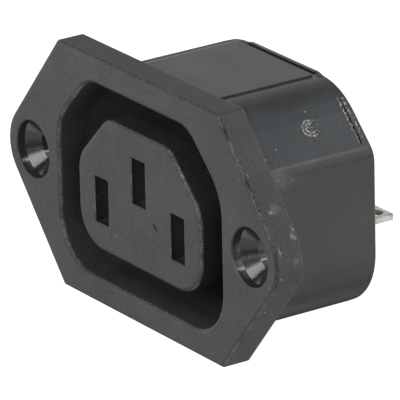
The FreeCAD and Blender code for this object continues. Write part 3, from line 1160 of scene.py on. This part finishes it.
@dataclass
class SoftBox:
    """The key light: a square studio light that points at the socket."""

    name: str = "key_box"
    azimuth: float = 5.0
    elevation: float = 40.0
    distance: float = 180.0
    width: float = 120.0
    radiance: Point = (4.6, 4.6, 4.5)

    def build(self) -> None:
        """Adds the light, with its power from its brightness and its area."""
        strength = max(self.radiance)
        light = bpy.data.lights.new(self.name, "AREA")
        light.shape = "SQUARE"
        light.size = self.width * MM
        light.color = [part / strength for part in self.radiance]
        light.energy = strength * math.pi * (self.width * MM) ** 2
        lamp = bpy.data.objects.new(self.name, light)
        toward = direction(self.azimuth, self.elevation)
        lamp.location = toward * self.distance * MM
        lamp.rotation_euler = toward.to_track_quat("Z", "Y").to_euler()
        lamp.visible_camera = False
        bpy.context.scene.collection.objects.link(lamp)


@dataclass(frozen=True)
class Card:
    """A pale part of the surroundings: where it stands, how wide it is, its soft rim and its brightness."""

    azimuth: float
    elevation: float
    reach: float
    fade: float
    radiance: Point

    def shine(self, tree: Tree, toward: Source) -> Source:
        """Adds the nodes that light the surroundings where the card stands.

        Args:
            tree: The world's node tree.
            toward: The direction that is looked at.

        Returns:
            The card's light in that direction.
        """
        near = add(tree, VECTOR, {0: toward, 1: direction(self.azimuth, self.elevation)},
                   operation="DOT_PRODUCT").outputs["Value"]
        share = add(tree, MAP_RANGE, {
            "Value": near, "From Min": math.cos(math.radians(self.reach + self.fade)),
            "From Max": math.cos(math.radians(self.reach))}, interpolation_type="SMOOTHSTEP")
        return add(tree, VECTOR, {0: self.radiance, "Scale": share}, operation="SCALE")


# Pale places round the socket, from the front to all sides, then below, above and behind
STUDIO_CARDS = (
    Card(-15.0, -38.0, 46.0, 24.0, (0.28, 0.28, 0.27)),
    Card(30.0, -32.0, 19.0, 15.0, (0.46, 0.46, 0.47)),
    Card(28.0, 42.0, 9.0, 12.0, (0.7, 0.7, 0.72)),
    Card(56.0, 20.0, 10.0, 8.0, (2.4, 2.4, 2.4)),
    Card(-75.0, 15.0, 22.0, 18.0, (1.9, 1.9, 1.88)),
    Card(-124.0, 20.0, 8.0, 12.0, (0.82, 0.82, 0.78)),
    Card(-135.0, 43.0, 5.0, 7.0, (0.42, 0.43, 0.43)),
    Card(-170.0, 57.0, 7.0, 9.0, (0.4, 0.43, 0.4)),
    Card(160.0, 56.0, 7.0, 8.0, (0.78, 1.0, 1.2)),
    Card(137.0, 44.5, 3.0, 4.0, (6.9, 7.0, 7.1)),
    Card(127.0, 27.0, 7.0, 7.0, (1.5, 1.55, 1.6)),
    Card(90.0, 0.0, 20.0, 18.0, (2.05, 2.05, 2.0)),
    Card(124.0, -20.0, 8.0, 8.0, (0.82, 0.82, 0.82)),
    Card(133.0, -38.0, 7.0, 8.0, (0.54, 0.54, 0.54)),
    Card(144.0, -50.0, 7.0, 8.0, (0.31, 0.31, 0.31)),
    Card(-155.0, -56.0, 8.0, 10.0, (0.15, 0.16, 0.15)),
    Card(0.0, -85.0, 20.0, 20.0, (1.0, 0.99, 1.08)),
    Card(0.0, 88.0, 20.0, 14.0, (0.2, 0.2, 0.2)),
    Card(180.0, 0.0, 26.0, 16.0, (1.2, 1.2, 1.18)),
)


@dataclass
class Studio:
    """White paper on floor and walls, pale cards in dim surroundings, and a key light."""

    finish: StudioPaper = StudioPaper()
    cards: tuple[Card, ...] = STUDIO_CARDS
    width: float = 10000.0
    dim: float = 0.01

    def build(self) -> None:
        """Adds the paper, the surroundings and the key light."""
        self.lay_paper()
        self.surround()
        SoftBox().build()
        bpy.context.scene.view_settings.view_transform = "Standard"

    def lay_paper(self) -> None:
        """Lays the floor under the housing, with a wall on each side, for the camera alone."""
        low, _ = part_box(Node.HOUSING.value)
        half = self.width / 2 * MM
        corners = ((-half, -half), (half, -half), (half, half), (-half, half))
        points = [(x, y, z) for z in (low.z, low.z + half) for x, y in corners]
        walls = [(number, number + 4, (number + 1) % 4 + 4, (number + 1) % 4) for number in range(4)]
        mesh = bpy.data.meshes.new("studio_paper")
        mesh.from_pydata(points, [], [(0, 1, 2, 3), *walls])
        mesh.materials.append(self.finish.build())
        paper = bpy.data.objects.new("studio_paper", mesh)
        paper.visible_diffuse = paper.visible_glossy = paper.visible_shadow = False
        bpy.context.scene.collection.objects.link(paper)

    def surround(self) -> None:
        """Builds the world: dim all round, with the pale cards in it."""
        world = bpy.data.worlds.new("studio_surround")
        world.use_nodes = True
        tree = world.node_tree
        tree.nodes.clear()
        toward = add(tree, "ShaderNodeTexCoord").outputs["Generated"]
        light = (self.dim,) * 3
        for card in self.cards:
            light = add(tree, VECTOR, {0: light, 1: card.shine(tree, toward)}, operation="ADD")
        glow = add(tree, "ShaderNodeBackground", {"Color": light})
        add(tree, "ShaderNodeOutputWorld", {"Surface": glow})
        bpy.context.scene.world = world


@dataclass
class PhotoCamera:
    """The camera, far off with a long lens, to the right of the socket and above it."""

    target: Point = (3.471, 2.062, 0.062)
    azimuth: float = 56.118
    elevation: float = 20.504
    roll: float = -1.317
    distance: float = 623.47
    lens: float = 546.15
    sensor: float = 36.0
    nearest: float = 10.0
    farthest: float = 50000.0

    def build(self) -> None:
        """Adds the camera and makes it the scene's own."""
        back = direction(self.azimuth, self.elevation)
        right = Vector((0, 0, 1)).cross(back).normalized()
        basis = Matrix((right, back.cross(right), back)).transposed()
        basis = basis @ Matrix.Rotation(math.radians(self.roll), 3, "Z")
        data = bpy.data.cameras.new("photo_camera")
        data.lens = self.lens
        data.sensor_width = self.sensor
        data.clip_start = self.nearest * MM
        data.clip_end = self.farthest * MM
        camera = bpy.data.objects.new("photo_camera", data)
        eye = (Vector(self.target) + back * self.distance) * MM
        camera.matrix_world = Matrix.Translation(eye) @ basis.to_4x4()
        bpy.context.scene.collection.objects.link(camera)
        bpy.context.scene.camera = camera


def main() -> None:
    """Dresses the socket piece by piece, then sets up the studio and the camera."""
    logging.basicConfig(level=logging.INFO, format="%(name)s: %(message)s")
    for part in (Housing(), RearCover(), Contacts(), SeamFlash(), GateScar(), Studio(), PhotoCamera()):
        part.build()


if __name__ == "__main__":
    main()
